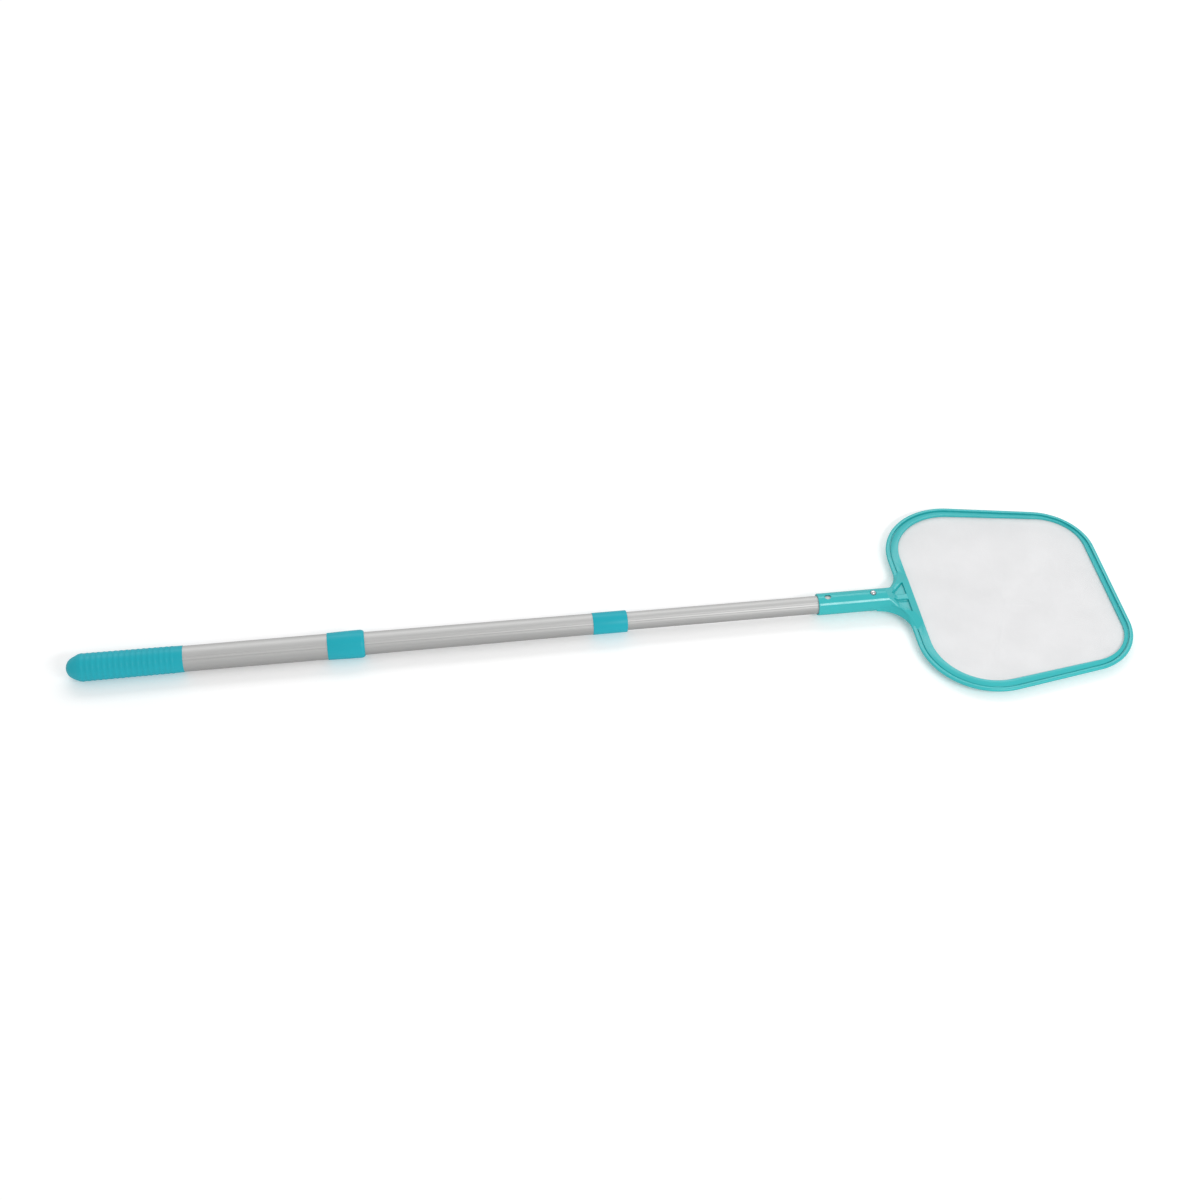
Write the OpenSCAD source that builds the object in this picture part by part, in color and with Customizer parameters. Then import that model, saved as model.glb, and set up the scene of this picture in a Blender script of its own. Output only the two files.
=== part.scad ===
// Leaf skimmer net: a three-section telescopic pole with twist locks and a flat, clamped net head.
// The pole lies along X with its grip at -X. +Z is up. The origin is under the middle, on the ground.

/* [Tubes] */
// Outer diameter of the outer (grip end) tube
outer_tube_od = 27.4; // [26:0.1:32]
// Wall of all three tubes
tube_wall = 0.8; // [0.7:0.05:1]
// Radial gap between one tube and the next
slide_gap = 0.6; // [0.55:0.05:0.8]
// Length of the outer tube
outer_tube_length = 293; // [290:1:360]
// Length of the middle tube
middle_tube_length = 312; // [290:1:325]
// How much smaller the middle tube's radius is at its front end than at its rear end
middle_taper = 1; // [0:0.1:1.2]
// Length of the inner tube
inner_tube_length = 321; // [300:1:350]
// How far a tube still reaches into the next one when pulled right out
tube_overlap = 31; // [25:1:31]
// Depth of the long grooves rolled into each tube
groove_depth = 0.35; // [0.2:0.05:0.4]
// Radius of the tool that rolls a groove
groove_radius = 1; // [0.7:0.1:1.2]
// Distance between the two grooves of a pair
groove_spacing = 3.4; // [2.5:0.1:5]

/* [Hand grip] */
// Length of the hand grip
grip_length = 121; // [100:1:130]
// Outer diameter of the grip at its domed end
grip_end_od = 30; // [29.8:0.1:34]
// Outer diameter of the grip at its mouth
grip_mouth_od = 28.9; // [28.8:0.1:29.8]
// Depth of the domed end
grip_dome_depth = 14; // [12:1:16]
// Radius of the round nose on the domed end
grip_nose_radius = 12.5; // [10:0.5:13]
// Spacing of the grip ribs
rib_pitch = 5.8; // [4:0.1:9]
// How far a rib stands proud
rib_height = 0.35; // [0.2:0.05:0.4]
// Radius of a rib's rounded back
rib_radius = 1.3; // [1:0.1:2]

/* [Collars] */
// Length of the collar on the outer tube
outer_collar_length = 40; // [30:1:50]
// Diameter of that collar at its narrow end
outer_collar_od = 28.8; // [28.5:0.1:29.8]
// Largest diameter of that collar, near its mouth
outer_collar_bulge_od = 30; // [29.9:0.1:32]
// Length of the collar on the middle tube
middle_collar_length = 37.5; // [30:0.5:50]
// Wall of the collar on the middle tube
middle_collar_wall = 0.4; // [0.4:0.05:0.8]
// How far a collar's lip reaches past the end of its tube
collar_lip = 4; // [3:0.5:6]
// Radial gap between a collar's lip and the tube that slides in it
lip_gap = 0.55; // [0.5:0.05:0.6]

/* [Twist locks] */
// Offset of the cam journal from the tube's axis
cam_offset = 0.8; // [0.6:0.05:0.85]
// Diameter of the outer tube's cam journal
outer_journal_d = 14; // [12:0.5:16]
// Diameter of the inner cam journal
inner_journal_d = 12; // [10:0.5:13]
// Length of the cam journal
journal_length = 12; // [10:0.5:14]
// Thickness of the flanges that hold the lock ring
flange_thickness = 3; // [2:0.5:4]
// Depth of the plug inside its tube
plug_depth = 15; // [10:1:20]
// Width of the split in a lock ring
ring_split = 2; // [1:0.5:3]
// Radial gap between a lock ring and the tube round it
ring_gap = 0.15; // [0.1:0.05:0.2]

/* [Socket and neck] */
// Depth of the bore that takes the inner tube
socket_depth = 75; // [65:1:90]
// Outer radius of the socket
socket_radius = 11.9; // [11.7:0.1:13]
// Distance of the ridges on the socket from its axis
ridge_radius = 12.8; // [12.4:0.1:14]
// Radial gap between the socket and the inner tube
socket_gap = 0.1; // [0.05:0.05:0.2]
// Distance from the socket's mouth to the net frame's rear line
neck_length = 103.4; // [98:0.1:115]
// Radius of the concave flanks of the neck
neck_fillet = 32; // [24:1:36]
// Width of the slope along the flanks of the neck
flank_slope = 5; // [3:0.5:7]
// Height of the neck plate above the pole's axis
plate_height = 1.6; // [0:0.2:3]
// Width of the rib between the two pockets
pocket_rib = 7.4; // [5:0.2:10]
// Length of each triangular pocket
pocket_length = 18; // [12:0.5:19]
// Reach of each pocket to the side
pocket_reach = 19.5; // [12:0.5:22]
// Depth of each pocket
pocket_depth = 3; // [1:0.2:4]

/* [Snap button] */
// Diameter of the snap button
button_d = 6.35; // [5.5:0.05:7]
// Radial gap round the button
button_gap = 0.2; // [0.1:0.05:0.3]
// How far the button stands out of the socket
button_proud = 2.6; // [2:0.1:3.5]
// Distance from the socket's mouth to the spare button hole
spare_hole_s = 11; // [8:0.5:20]
// Distance from the socket's mouth to the button's hole
button_hole_s = 62; // [50:0.5:66]
// Width of the button's spring strip
spring_width = 6; // [4:0.5:7]
// Thickness of the button's spring strip
spring_thickness = 0.8; // [0.6:0.1:1]

/* [Net frame] */
// Length of the frame from its rear line to its front line
frame_length = 229.8; // [200:0.1:260]
// Width of the frame along its rear line, before the corners are rounded
frame_rear_width = 298.7; // [280:0.1:330]
// Width of the frame along its front line, before the corners are rounded
frame_front_width = 218.5; // [200:0.1:250]
// Radius of the rear corners
rear_corner_r = 71.6; // [60:0.1:80]
// Radius of the front corners
front_corner_r = 59.6; // [50:0.1:70]
// Width of the inner band at the rear
band_rear = 8.5; // [7:0.1:10]
// Width of the inner band at the front
band_front = 5; // [4:0.1:7]
// Width of the inner band at the rear end of each side
band_side_rear = 9.4; // [7:0.1:11]
// Width of the inner band at the front end of each side
band_side_front = 4.6; // [4:0.1:7]
// Depth of the frame's parting line below the pole's axis
parting_drop = 5.2; // [4:0.1:7]
// Rise of the inner band from the parting line to the net
band_rise = 1.8; // [1:0.1:3]
// Depth of the frame's seat on the lower ring, below the parting line
seat_drop = 1.6; // [1.4:0.1:2.5]
// Reach of the lower ring outside the parting line
lip_reach = 5.6; // [5.2:0.1:6.4]
// Width of the groove between the upper frame and the ring's lip
parting_gap = 1.4; // [1:0.1:1.6]
// Height of the ring's lip above the parting line
lip_rise = 1; // [0.6:0.1:1.4]
// Rounding of the ring's lip
lip_round = 1.6; // [1.2:0.1:1.8]
// Height and depth of the slope along the ring's lower edge
ring_rake = 5; // [3:0.5:5]

/* [Net] */
// Thickness of the net
net_thickness = 0.6; // [0.4:0.1:0.8]
// Spacing of the net's strands
net_pitch = 16; // [14:0.5:20]
// Width of a net strand
strand_width = 1.4; // [1:0.1:3]

/* [Hidden] */
$fn = 96;

// Colours
turquoise = [0.18, 0.67, 0.73];
pale_turquoise = [0.38, 0.82, 0.82];
aluminium = [0.75, 0.75, 0.74];
steel = [0.6, 0.6, 0.62];
nylon = [0.93, 0.93, 0.95];

// Clearances shared by many pieces
glue_gap = 0.05;         // between parts that are fixed to each other
running_gap = 0.05;      // between a journal and its ring
end_gap = 0.3;           // at each end of a part that turns between flanges
overcut = 1;             // how far a cut runs past the face that it opens

// Sizes that follow the moulds rather than the user's choice
grip_cuff = 4;           // plain length at the grip's mouth
button_flange_r = 4.2;   // flange that keeps the button in the tube
button_flange_h = 1;
net_margin = 3;          // reach of the net's edge under the band
corner_steps = 15;       // straight steps that round each corner of the frame
slab_h = 0.1;            // height of the slabs that the sloping forms are drawn between

// Radii of the tubes
tube_step = tube_wall + slide_gap;
outer_r = outer_tube_od / 2;
middle_r = outer_r - tube_step;
middle_front_r = middle_r - middle_taper;
inner_r = middle_front_r - tube_step;

// Places along the pole, measured from the tip of the grip
outer_tube_s = grip_dome_depth;
outer_tube_end = outer_tube_s + outer_tube_length;
outer_collar_end = outer_tube_end + collar_lip;
outer_collar_s = outer_collar_end - outer_collar_length;
middle_tube_s = outer_tube_end - tube_overlap;
middle_tube_end = middle_tube_s + middle_tube_length;
middle_collar_end = middle_tube_end + collar_lip;
middle_collar_s = middle_collar_end - middle_collar_length;
inner_tube_s = middle_tube_end - tube_overlap;
inner_tube_end = inner_tube_s + inner_tube_length;
socket_mouth = inner_tube_end - socket_depth;
frame_rear = socket_mouth + neck_length;
frame_front = frame_rear + frame_length;
overall_length = frame_front + lip_reach;
cam_length = journal_length + 2 * flange_thickness;

// Heights above the pole's axis; the thicker of the grip and the outer collar lies on the ground
axis_height = max(grip_end_od, outer_collar_bulge_od) / 2;
parting_z = -parting_drop;
crown_z = parting_z + band_rise;
seat_z = parting_z - seat_drop;
underside_z = -socket_radius;

// A rounded trapezoid is [length, rear width, front width, rear corner radius, front corner radius].
// It is symmetric about X, with its rear line at x = 0.
function lean(t) = atan((t[1] - t[2]) / 2 / t[0]);
function side_normal(t) = [sin(lean(t)), cos(lean(t))];
function rear_centre(t) = [t[3], t[1] / 2 - t[3] * (1 + sin(lean(t))) / cos(lean(t))];
function front_centre(t) = [t[0] - t[4], t[2] / 2 - t[4] * (1 - sin(lean(t))) / cos(lean(t))];

// The parting line of the frame, and the opening inside its inner band
frame_shape = [
    frame_length, frame_rear_width, frame_front_width, rear_corner_r, front_corner_r
];
opening_length = frame_length - band_rear - band_front;
function half_width_at(x) = frame_rear_width / 2 - x * tan(lean(frame_shape));
opening_shape = [
    opening_length,
    2 * (half_width_at(band_rear) - band_side_rear / cos(lean(frame_shape))),
    2 * (half_width_at(frame_length - band_front) - band_side_front / cos(lean(frame_shape))),
    rear_corner_r - band_rear,
    front_corner_r - band_side_rear
];

// Places a child, drawn with X across, Y up and Z along the pole, at distance s from the grip's tip
module along_pole(s) {
    translate([s - overall_length / 2, 0, axis_height])
        rotate([90, 0, 90])
            children();
}

// Places a child, drawn with X along the pole and Z up, with its origin on the pole's axis
module on_axis(s) {
    translate([s - overall_length / 2, 0, axis_height])
        children();
}

module ring_solid(r_outside, r_inside, length) {
    linear_extrude(length)
        difference() {
            circle(r_outside);
            circle(r_inside);
        }
}

// ---- Tubes ----

// Places a child at each rolled groove round a tube: four pairs, one to each quarter
module at_grooves(r) {
    half_pair = asin(groove_spacing / 2 / r);
    for (quarter = [45:90:315], side = [-1, 1])
        rotate(quarter + side * half_pair)
            translate([r + groove_radius - groove_depth, 0])
                children();
}

// Straight tube
module tube(s, r, length) {
    along_pole(s)
        linear_extrude(length)
            difference() {
                circle(r);
                circle(r - tube_wall);
                at_grooves(r)
                    circle(groove_radius, $fn = 24);
            }
}

module outer_tube() {
    color(aluminium) tube(outer_tube_s, outer_r, outer_tube_length);
}

function middle_r_at(s) = middle_r - middle_taper * (s - middle_tube_s) / middle_tube_length;

// The middle tube is drawn to a slight taper, and its grooves lean in with it
module middle_tube() {
    color(aluminium)
        along_pole(middle_tube_s)
            difference() {
                rotate_extrude()
                    polygon([
                        [middle_r - tube_wall, 0],
                        [middle_r, 0],
                        [middle_front_r, middle_tube_length],
                        [middle_front_r - tube_wall, middle_tube_length]
                    ]);
                at_grooves(middle_r)
                    rotate([0, -atan(middle_taper / middle_tube_length), 0])
                        translate([0, 0, -overcut])
                            cylinder(r = groove_radius, h = middle_tube_length + 2 * overcut, $fn = 24);
            }
}

// The inner tube has one hole, for the snap button
module inner_tube() {
    color(aluminium)
        difference() {
            tube(inner_tube_s, inner_r, inner_tube_length);
            on_axis(socket_mouth + button_hole_s)
                cylinder(r = button_d / 2 + button_gap, h = inner_r + overcut);
        }
}

// ---- Hand grip ----

grip_slope = (grip_mouth_od - grip_end_od) / 2 / (grip_length - grip_dome_depth);
function grip_r(s) = grip_end_od / 2 + grip_slope * (s - grip_dome_depth) - rib_height;
rib_count = floor((grip_length - grip_cuff - grip_dome_depth) / rib_pitch);

// Half section of the grip: X is the radius and Y the distance from the tip
module grip_profile() {
    shoulder = [grip_r(grip_dome_depth), grip_dome_depth - grip_nose_radius];
    tangent = atan2(shoulder[1], shoulder[0]) - acos(grip_nose_radius / norm(shoulder));
    touch = grip_nose_radius * [cos(tangent), 1 + sin(tangent)];
    intersection() {
        translate([0, grip_nose_radius])
            circle(grip_nose_radius);
        square(touch);
    }
    polygon([
        [0, touch[1]],
        touch,
        [grip_r(grip_dome_depth), grip_dome_depth],
        [grip_r(grip_length), grip_length],
        [0, grip_length]
    ]);
    for (i = [0:rib_count - 1])
        let (s = grip_dome_depth + (i + 0.5) * rib_pitch)
            translate([grip_r(s) + rib_height - rib_radius, s])
                circle(rib_radius, $fn = 24);
}

module hand_grip() {
    bore_r = outer_r + glue_gap;
    color(turquoise)
        along_pole(0)
            rotate_extrude()
                difference() {
                    grip_profile();
                    translate([0, outer_tube_s])
                        square([bore_r, grip_length]);
                }
}

// ---- Collars ----

// Sleeve over the end of the outer tube, swelling towards a rounded mouth
module outer_collar() {
    mouth_round = 5;
    bulge_s = outer_collar_length - 13;
    bulge_r = outer_collar_bulge_od / 2;
    color(turquoise)
        along_pole(outer_collar_s)
            rotate_extrude()
                difference() {
                    union() {
                        polygon([
                            [0, 0],
                            [outer_collar_od / 2, 0],
                            [bulge_r, bulge_s],
                            [bulge_r, outer_collar_length - mouth_round],
                            [0, outer_collar_length - mouth_round]
                        ]);
                        square([bulge_r - mouth_round, outer_collar_length]);
                        translate([bulge_r - mouth_round, outer_collar_length - mouth_round])
                            circle(mouth_round);
                    }
                    square([outer_r + glue_gap, outer_collar_length - collar_lip]);
                    square([middle_r + lip_gap, outer_collar_length + overcut]);
                }
}

// Thin sleeve over the end of the middle tube
module middle_collar() {
    mouth_round = 1.2;
    sleeve_length = middle_collar_length - collar_lip;
    tube_gap = 2 * glue_gap;
    bore_r = middle_r_at(middle_collar_s) + tube_gap;
    r = bore_r + middle_collar_wall;
    color(turquoise)
        along_pole(middle_collar_s)
            rotate_extrude()
                difference() {
                    union() {
                        square([r, middle_collar_length - mouth_round]);
                        square([r - mouth_round, middle_collar_length]);
                        translate([r - mouth_round, middle_collar_length - mouth_round])
                            circle(mouth_round);
                    }
                    polygon([
                        [0, 0],
                        [bore_r, 0],
                        [middle_front_r + tube_gap, sleeve_length],
                        [0, sleeve_length]
                    ]);
                    square([inner_r + lip_gap, middle_collar_length + overcut]);
                }
}

// ---- Twist locks ----

// Plug in the inner end of a tube of radius r. Its journal is offset, so turning it wedges the ring.
module cam_plug(tube_s, r, journal_d) {
    color(nylon)
        along_pole(tube_s - cam_length) {
            cylinder(r = r - slide_gap, h = flange_thickness);
            translate([0, cam_offset, flange_thickness])
                cylinder(d = journal_d, h = journal_length);
            translate([0, 0, flange_thickness + journal_length])
                cylinder(r = r, h = flange_thickness);
            translate([0, 0, cam_length])
                ring_solid(r - tube_wall - 2 * glue_gap, r - 2 * tube_wall - 1, plug_depth);
        }
}

// Split ring that turns on the offset journal and drags along the bore of the tube round it
module lock_ring(tube_s, tube_r, journal_d) {
    ring_r = tube_r + slide_gap - ring_gap;
    color(nylon)
        along_pole(tube_s - cam_length + flange_thickness + end_gap)
            linear_extrude(journal_length - 2 * end_gap)
                difference() {
                    circle(ring_r);
                    translate([0, cam_offset])
                        circle(d = journal_d + 2 * running_gap);
                    translate([-ring_split / 2, 0])
                        square([ring_split, ring_r + overcut]);
                }
}

module middle_cam_plug() {
    cam_plug(middle_tube_s, middle_r, outer_journal_d);
}

module outer_lock_ring() {
    lock_ring(middle_tube_s, middle_r, outer_journal_d);
}

module inner_cam_plug() {
    cam_plug(inner_tube_s, inner_r, inner_journal_d);
}

module inner_lock_ring() {
    lock_ring(inner_tube_s, inner_r, inner_journal_d);
}

// ---- Snap button ----

button_flange_top = sqrt(pow(inner_r - tube_wall, 2) - pow(button_flange_r, 2)) - end_gap;

module snap_button() {
    tip_z = socket_radius + button_proud;
    dome_h = button_d / 3;
    dome_r = (pow(button_d / 2, 2) + pow(dome_h, 2)) / (2 * dome_h);
    color(steel)
        on_axis(socket_mouth + button_hole_s) {
            translate([0, 0, button_flange_top - button_flange_h])
                cylinder(r = button_flange_r, h = button_flange_h);
            translate([0, 0, button_flange_top])
                cylinder(d = button_d, h = tip_z - dome_h - button_flange_top);
            intersection() {
                translate([0, 0, tip_z - dome_r])
                    sphere(dome_r);
                translate([0, 0, tip_z - dome_h])
                    cylinder(d = button_d, h = dome_h);
            }
        }
}

// Straight strip of the spring from point a to point b, in the XZ plane
module strip(a, b) {
    run = b - a;
    translate(a)
        rotate(atan2(run[1], run[0]))
            translate([0, -spring_thickness / 2])
                square([norm(run), spring_thickness]);
    translate(b)
        circle(d = spring_thickness, $fn = 24);
}

// Bent strip that pushes the button out: a lower leg, a round bend and an upper leg under the button
module button_spring() {
    bore_r = inner_r - tube_wall;
    low_z = -sqrt(pow(bore_r, 2) - pow(spring_width / 2, 2)) + spring_thickness / 2 + glue_gap;
    high_z = button_flange_top - button_flange_h - spring_thickness / 2;
    bend_r = 2.5;
    bend_s = -26;
    foot_s = 6;
    color(steel)
        on_axis(socket_mouth + button_hole_s)
            rotate([90, 0, 0])
                translate([0, 0, -spring_width / 2])
                    linear_extrude(spring_width) {
                        strip([foot_s, low_z], [-foot_s, low_z]);
                        strip([-foot_s, low_z], [bend_s, -bend_r]);
                        strip([bend_s, bend_r], [-foot_s, high_z]);
                        strip([-foot_s, high_z], [foot_s - 1, high_z]);
                        translate([bend_s, 0])
                            difference() {
                                circle(bend_r + spring_thickness / 2);
                                circle(bend_r - spring_thickness / 2);
                                translate([0, -bend_r - overcut])
                                    square(2 * (bend_r + overcut));
                            }
                    }
}

// ---- Net head: outlines ----

function arc_points(c, r, a, b) =
    [for (i = [0:corner_steps]) let (k = a + (b - a) * i / corner_steps) c + r * [cos(k), sin(k)]];

// Points round a rounded trapezoid, grown outwards
function outline_points(t, grow) =
    let (
        turn = 90 - lean(t),
        front_half = arc_points(front_centre(t), t[4] + grow, 0, turn),
        rear_half = arc_points(rear_centre(t), t[3] + grow, turn, 180),
        half = concat(front_half, rear_half),
        last = len(half) - 1
    )
    concat(half, [for (i = [last:-1:0]) [half[i][0], -half[i][1]]]);

module trapezoid(t, grow) {
    polygon(outline_points(t, grow));
}

// Thin slab of the frame's outline, with its lower face at height z
module frame_slab(grow, z) {
    translate([0, 0, z])
        linear_extrude(slab_h)
            trapezoid(frame_shape, grow);
}

// Outer form of the inner band: upright at the parting line, then rising towards the net
module band_form() {
    hull() {
        frame_slab(0, seat_z);
        frame_slab(0, parting_z - slab_h);
        translate([band_rear, 0, crown_z - slab_h])
            linear_extrude(slab_h)
                trapezoid(opening_shape, 0);
    }
}

// Outer form of the lower ring: a raked lower edge, an upright side and a rounded lip
module ring_form() {
    lip_side = parting_z + lip_rise - lip_round;
    hull() {
        frame_slab(lip_reach - ring_rake, underside_z);
        frame_slab(lip_reach, underside_z + ring_rake);
        for (k = [0:30:90])
            frame_slab(lip_reach - lip_round * (1 - cos(k)), lip_side + lip_round * sin(k) - slab_h);
    }
}

// Opening through the frame, from height low to height high
module opening_cut(low, high) {
    translate([band_rear, 0, low])
        linear_extrude(high - low)
            trapezoid(opening_shape, 0);
}

// ---- Net head: neck and socket ----

// Places along X, from the frame's rear line
mouth_x = -neck_length;
slope_start = mouth_x + socket_depth;
slope_end = slope_start + 15;
plate_end = -1;
flank_x = -lip_reach - neck_fillet;
ring_room_x = -lip_reach - end_gap;
neck_half_width = socket_radius + neck_fillet;
flank_z = parting_z + lip_rise;

// Side view of the socket, the slope behind it, the neck plate and the bevel down to the net
module neck_side(drop) {
    polygon([
        [mouth_x - overcut, underside_z - overcut - drop],
        [mouth_x - overcut, ridge_radius - drop],
        [slope_start, ridge_radius - drop],
        [slope_end, plate_height - drop],
        [plate_end, plate_height - drop],
        [band_rear + overcut, crown_z - drop],
        [band_rear + overcut, underside_z - overcut - drop]
    ]);
}

// The side view as a solid, as wide as the neck
module neck_side_solid(drop) {
    rotate([90, 0, 0])
        linear_extrude(2 * neck_half_width + 2 * overcut, center = true)
            neck_side(drop);
}

// End view of the neck plate: flat below, level over the pockets, then falling to the parting line
module neck_end_solid() {
    level = pocket_rib / 2 + pocket_reach - 3;
    translate([flank_x - overcut, 0, 0])
        rotate([90, 0, 90])
            linear_extrude(band_rear - flank_x + 2 * overcut)
                polygon([
                    [-neck_half_width, seat_z],
                    [-neck_half_width, flank_z],
                    [-level, plate_height],
                    [level, plate_height],
                    [neck_half_width, flank_z],
                    [neck_half_width, seat_z]
                ]);
}

// Plan of the neck plate: it widens in two concave arcs from the socket to the frame
module neck_plan() {
    difference() {
        translate([flank_x, -neck_half_width])
            square([band_rear - flank_x, 2 * neck_half_width]);
        for (side = [-1, 1])
            translate([flank_x, side * neck_half_width])
                circle(neck_fillet);
    }
}

// The slopes along the two concave flanks of the neck plate
module flank_slopes() {
    for (side = [-1, 1])
        translate([flank_x, side * neck_half_width, flank_z])
            cylinder(r1 = neck_fillet, r2 = neck_fillet + flank_slope, h = plate_height - flank_z + slab_h);
}

// Round socket with a soft ridge at each upper shoulder
module socket_section() {
    tangent = acos(socket_radius / ridge_radius);
    circle(socket_radius);
    for (shoulder = [45, 135])
        rotate(shoulder)
            polygon([
                [0, 0],
                socket_radius * [cos(tangent), -sin(tangent)],
                [ridge_radius, 0],
                socket_radius * [cos(tangent), sin(tangent)]
            ]);
}

// The two triangular pockets in the neck plate
module pocket_plan() {
    for (side = [-1, 1])
        polygon([
            [plate_end, side * pocket_rib / 2],
            [plate_end, side * (pocket_rib / 2 + pocket_reach)],
            [plate_end - pocket_length, side * pocket_rib / 2]
        ]);
}

module pocket_cut() {
    difference() {
        translate([0, 0, -pocket_depth])
            linear_extrude(ridge_radius + 2 * pocket_depth)
                pocket_plan();
        neck_side_solid(pocket_depth);
    }
}

module neck_body() {
    intersection() {
        neck_side_solid(0);
        union() {
            translate([mouth_x, 0, 0])
                rotate([90, 0, 90])
                    linear_extrude(ring_room_x - mouth_x)
                        socket_section();
            difference() {
                intersection() {
                    neck_end_solid();
                    translate([0, 0, underside_z])
                        linear_extrude(ridge_radius - underside_z)
                            neck_plan();
                }
                flank_slopes();
            }
        }
    }
}

module button_hole(s) {
    translate([mouth_x + s, 0, 0])
        cylinder(r = button_d / 2 + button_gap, h = ridge_radius + overcut);
}

// ---- Net head: pieces ----

// Upper moulding: socket, neck and the inner band of the frame
module skimmer_frame() {
    color(pale_turquoise)
        on_axis(frame_rear)
            difference() {
                union() {
                    neck_body();
                    band_form();
                }
                opening_cut(underside_z - overcut, plate_height + overcut);
                pocket_cut();
                // room for the lower ring under the neck
                translate([ring_room_x, -neck_half_width - overcut, underside_z - overcut])
                    cube([
                        band_rear + overcut - ring_room_x,
                        2 * (neck_half_width + overcut),
                        seat_z - underside_z + overcut
                    ]);
                // recess for the edge of the net
                translate([band_rear, 0, seat_z - overcut])
                    linear_extrude(net_thickness + overcut)
                        trapezoid(opening_shape, net_margin + end_gap);
                // bore for the inner tube
                translate([mouth_x - overcut, 0, 0])
                    rotate([0, 90, 0])
                        cylinder(r = inner_r + socket_gap, h = socket_depth + end_gap + overcut);
                button_hole(spare_hole_s);
                button_hole(button_hole_s);
            }
}

// Lower moulding: it clamps the net's edge from below. Its lip is left out under the neck.
module net_retaining_ring() {
    notch_half = neck_half_width + parting_gap;
    color(pale_turquoise)
        on_axis(frame_rear)
            difference() {
                ring_form();
                opening_cut(underside_z - overcut, overcut);
                // tray for the upper frame
                translate([0, 0, seat_z])
                    linear_extrude(-seat_z)
                        trapezoid(frame_shape, parting_gap);
                translate([-lip_reach - overcut, -notch_half, seat_z])
                    cube([lip_reach + overcut, 2 * notch_half, -seat_z]);
            }
}

// ---- Net ----

// True for a point inside a rounded trapezoid, at least margin away from its edge
function beyond(p, c, n, sign) = p[1] > c[1] && sign * ((p[0] - c[0]) * n[1] - (p[1] - c[1]) * n[0]) > 0;
function inside(t, p, margin) =
    let (
        q = [p[0], abs(p[1])],
        n = side_normal(t),
        rear_c = rear_centre(t),
        front_c = front_centre(t)
    )
    q[0] > margin && q[0] < t[0] - margin
    && (q - [0, t[1] / 2]) * n < -margin
    && (!beyond(q, rear_c, n, -1) || norm(q - rear_c) < t[3] - margin)
    && (!beyond(q, front_c, n, 1) || norm(q - front_c) < t[4] - margin);

// Square gaps of the net, each as its four corners
gap_half = (net_pitch - strand_width) / 2;
square_corners = [[-1, -1], [1, -1], [1, 1], [-1, 1]];
net_columns = floor(opening_length / net_pitch);
net_rows = floor(opening_shape[1] / net_pitch / 2);
net_gaps = [
    for (i = [0:net_columns - 1], j = [-net_rows:net_rows])
        let (
            c = [(i - (net_columns - 1) / 2) * net_pitch + opening_length / 2, j * net_pitch],
            corners = [for (k = square_corners) c + gap_half * k]
        )
        if (len([for (k = corners) if (inside(opening_shape, k, strand_width)) 1]) == 4)
            corners
];

// Flat net with square gaps; its edge lies in the recess between the frame and the ring
module net_mesh() {
    edge = outline_points(opening_shape, net_margin);
    first_gap = len(edge);
    color("white")
        on_axis(frame_rear)
            translate([band_rear, 0, seat_z])
                linear_extrude(net_thickness)
                    polygon(
                        points = concat(edge, [for (g = net_gaps) for (k = g) k]),
                        paths = concat(
                            [[for (i = [0:first_gap - 1]) i]],
                            [for (g = [0:len(net_gaps) - 1]) [for (k = [0:3]) first_gap + 4 * g + k]]
                        )
                    );
}

// ---- The assembly ----

hand_grip();
outer_tube();
outer_collar();
outer_lock_ring();
middle_cam_plug();
middle_tube();
middle_collar();
inner_lock_ring();
inner_cam_plug();
inner_tube();
button_spring();
snap_button();
skimmer_frame();
net_retaining_ring();
net_mesh();
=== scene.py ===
import math

import bmesh
import bpy
from mathutils import Matrix, Vector, noise


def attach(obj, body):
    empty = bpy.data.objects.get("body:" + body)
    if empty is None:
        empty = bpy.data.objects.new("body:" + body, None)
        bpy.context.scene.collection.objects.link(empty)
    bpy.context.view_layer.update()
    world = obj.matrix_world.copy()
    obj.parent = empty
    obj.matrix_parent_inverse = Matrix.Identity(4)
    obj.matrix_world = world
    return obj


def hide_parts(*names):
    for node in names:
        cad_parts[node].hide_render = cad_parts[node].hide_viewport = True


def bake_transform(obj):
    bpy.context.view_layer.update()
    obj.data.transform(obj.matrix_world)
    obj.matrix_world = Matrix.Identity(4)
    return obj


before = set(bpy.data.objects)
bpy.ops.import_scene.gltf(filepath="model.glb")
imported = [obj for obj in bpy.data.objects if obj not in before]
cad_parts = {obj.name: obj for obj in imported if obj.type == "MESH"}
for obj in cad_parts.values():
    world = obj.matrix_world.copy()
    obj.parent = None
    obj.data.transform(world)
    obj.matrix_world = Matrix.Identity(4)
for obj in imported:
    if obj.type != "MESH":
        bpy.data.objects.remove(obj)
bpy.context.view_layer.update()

MM = 0.001

# Places along the pole, in millimetres from the tip of the grip, and the height of its axis
MIDDLE = 570.9
AXIS_Z = 15.0
GRIP_MOUTH = 121
OUTER_TUBE = (14, 307, 13.7, 13.7)
OUTER_COLLAR = (271, 311)
SLEEVE_BORE = 13.76
MIDDLE_TUBE = (276, 588, 12.3, 11.3)
MIDDLE_COLLAR = (554.5, 592)
INNER_TUBE = (557, 878, 9.9, 9.9)
BUTTON_S = 865
FRAME_REAR = 906.4

# Heights on the net head, from the pole's axis
UNDERSIDE = -11.9
SEAT = -6.8
NET_TOP = -6.2
PARTING = -5.2
CROWN = -3.4
LIP_TOP = -4.2

# A small rounded edge: its radius, and its middle point's distance from both faces
EDGE, EDGE_MIDDLE = 0.45, 0.12


# ---- Materials ----

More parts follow.
